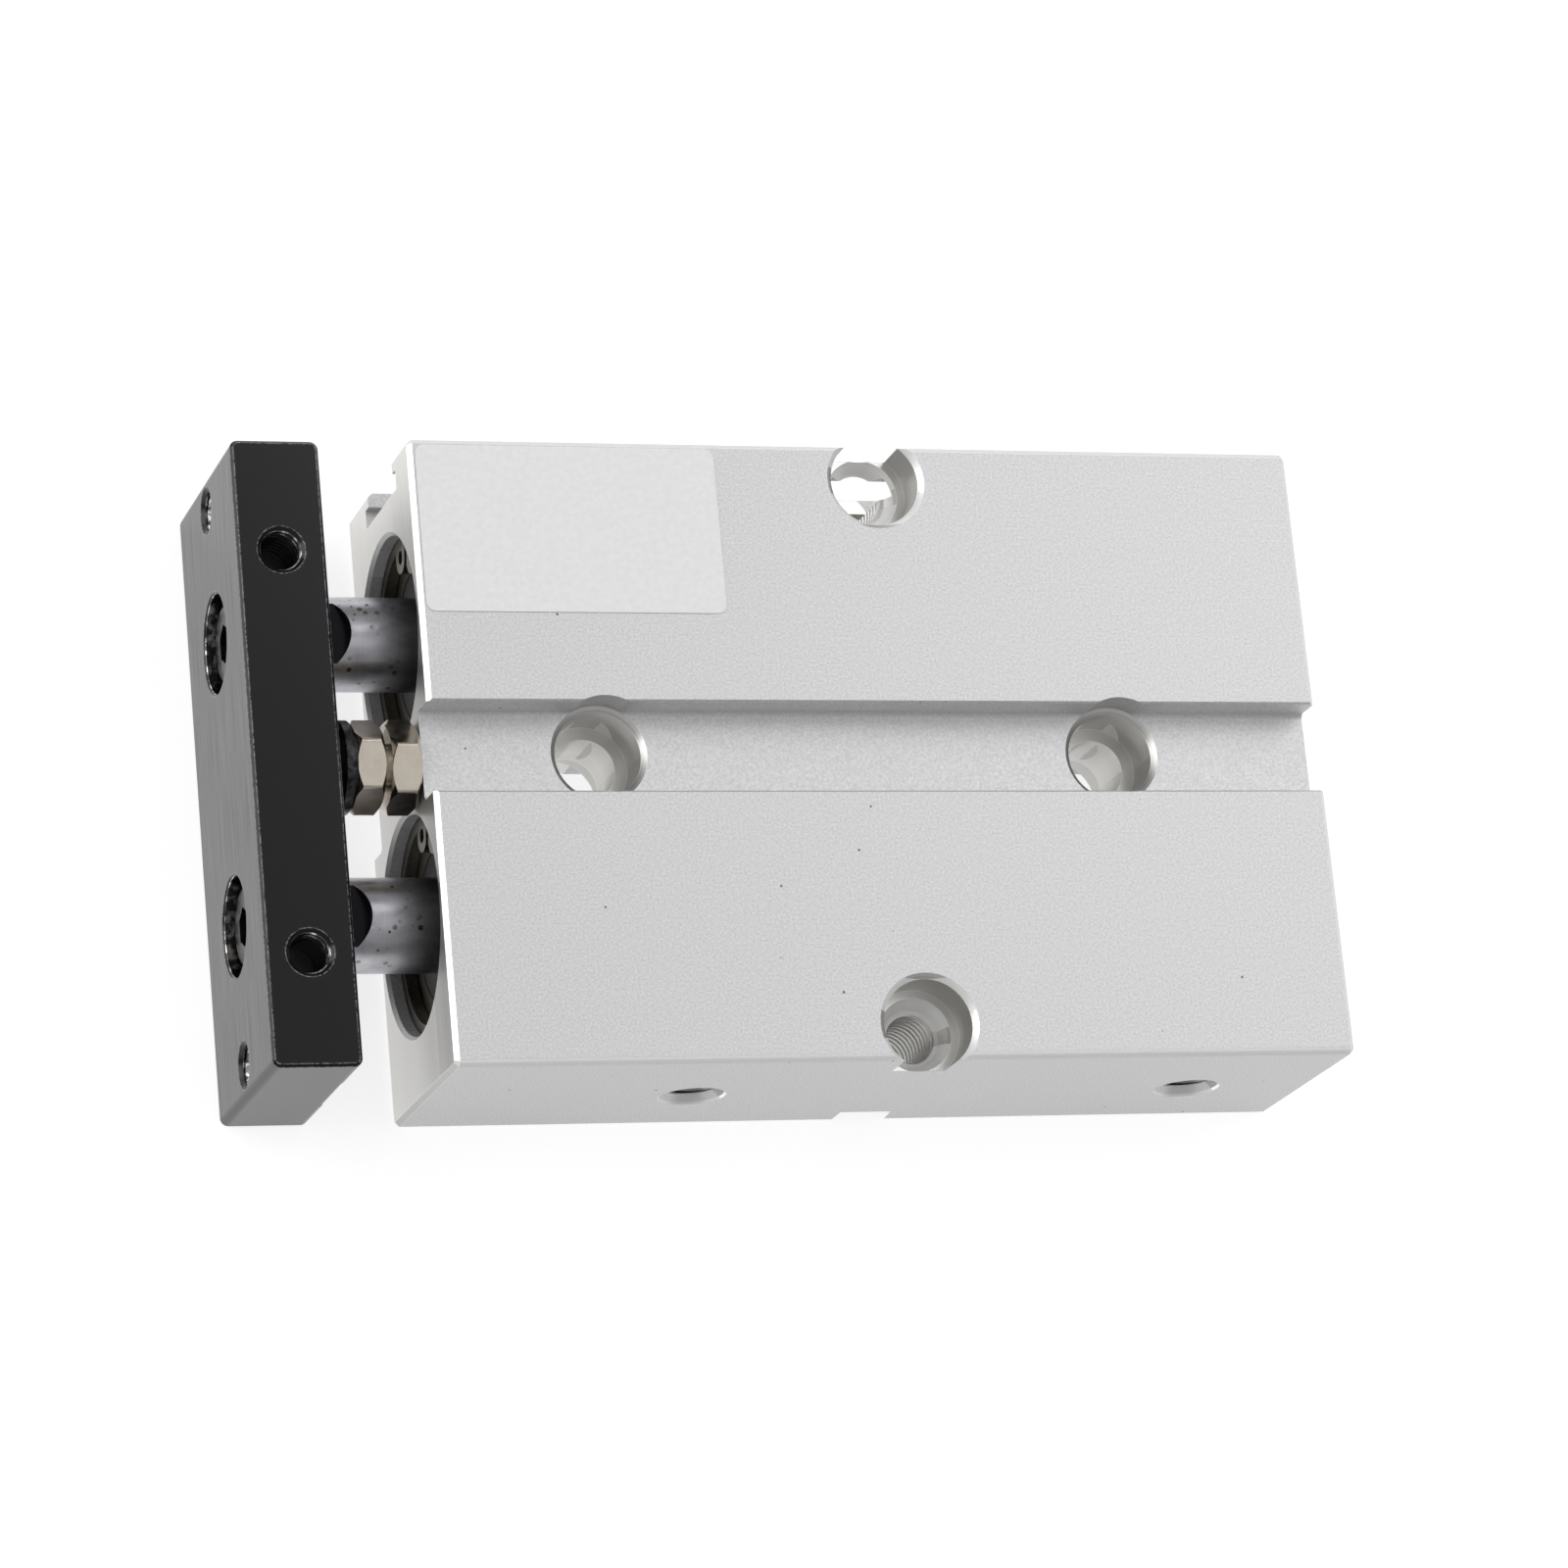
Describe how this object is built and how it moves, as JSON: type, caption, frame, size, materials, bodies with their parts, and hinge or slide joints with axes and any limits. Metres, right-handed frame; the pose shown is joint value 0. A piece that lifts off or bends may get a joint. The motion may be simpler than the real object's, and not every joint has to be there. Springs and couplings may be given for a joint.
{
  "type": "guided pneumatic cylinder",
  "caption": "Flat block pneumatic cylinder whose parallel rods slide out together, joined by an end plate with tapped holes and a stop bolt between the rods.",
  "frame": {"origin": "on the back (mounting) face, midway between the two threaded side holes", "axes": "+X along the rods, from the end plate to the rear face; +Y out of the side with the sensor slot; +Z out of the face with the label"},
  "size_m": [0.094, 0.054, 0.0211],
  "materials": {
    "body_aluminium": "fine blasted, clear anodised",
    "label_film": "satin silver-grey film",
    "plate_black": "brushed, black anodised",
    "nickel_steel": "nickel plated",
    "urethane": "moulded",
    "cover_dark": "turned, dark anodised",
    "nbr": "moulded",
    "bush_bronze": "sintered, oil filled",
    "phosphated_steel": "phosphated spring steel",
    "rod_chrome": "ground, hard chromed",
    "piston_aluminium": "turned",
    "magnet_ferrite": "bonded ferrite",
    "wear_resin": "moulded",
    "black_steel": "black oxide"
  },
  "bodies": {
    "cylinder": {"housing": "body_aluminium", "type_label": "label_film", "slot_side_rod_cover": "cover_dark", "slot_side_rod_seal": "nbr", "slot_side_guide_bush": "bush_bronze", "slot_side_cover_oring": "nbr", "slot_side_front_circlip": "phosphated_steel", "slot_side_rear_cover": "cover_dark", "slot_side_rear_oring": "nbr", "slot_side_rear_circlip": "phosphated_steel", "port_side_rod_cover": "cover_dark", "port_side_rod_seal": "nbr", "port_side_guide_bush": "bush_bronze", "port_side_cover_oring": "nbr", "port_side_front_circlip": "phosphated_steel", "port_side_rear_cover": "cover_dark", "port_side_rear_oring": "nbr", "port_side_rear_circlip": "phosphated_steel"},
    "rod_assembly": {"end_plate": "plate_black", "stop_bolt": "nickel_steel", "stop_bumper": "urethane", "lock_nut": "nickel_steel", "lock_washer": "black_steel", "slot_side_piston_rod": "rod_chrome", "slot_side_piston_front": "piston_aluminium", "slot_side_piston_rear": "piston_aluminium", "slot_side_piston_magnet": "magnet_ferrite", "slot_side_wear_ring": "wear_resin", "slot_side_piston_seal": "nbr", "slot_side_front_bumper": "urethane", "slot_side_rear_bumper": "urethane", "slot_side_piston_nut": "nickel_steel", "slot_side_rod_screw": "black_steel", "port_side_piston_rod": "rod_chrome", "port_side_piston_front": "piston_aluminium", "port_side_piston_rear": "piston_aluminium", "port_side_piston_magnet": "magnet_ferrite", "port_side_wear_ring": "wear_resin", "port_side_piston_seal": "nbr", "port_side_front_bumper": "urethane", "port_side_rear_bumper": "urethane", "port_side_piston_nut": "nickel_steel", "port_side_rod_screw": "black_steel"}
  },
  "joints": [
    {"name": "rod_slide", "type": "slide", "parent": "cylinder", "child": "rod_assembly", "axis": [-1, 0, 0], "range_m": [0, 0.03]}
  ]
}
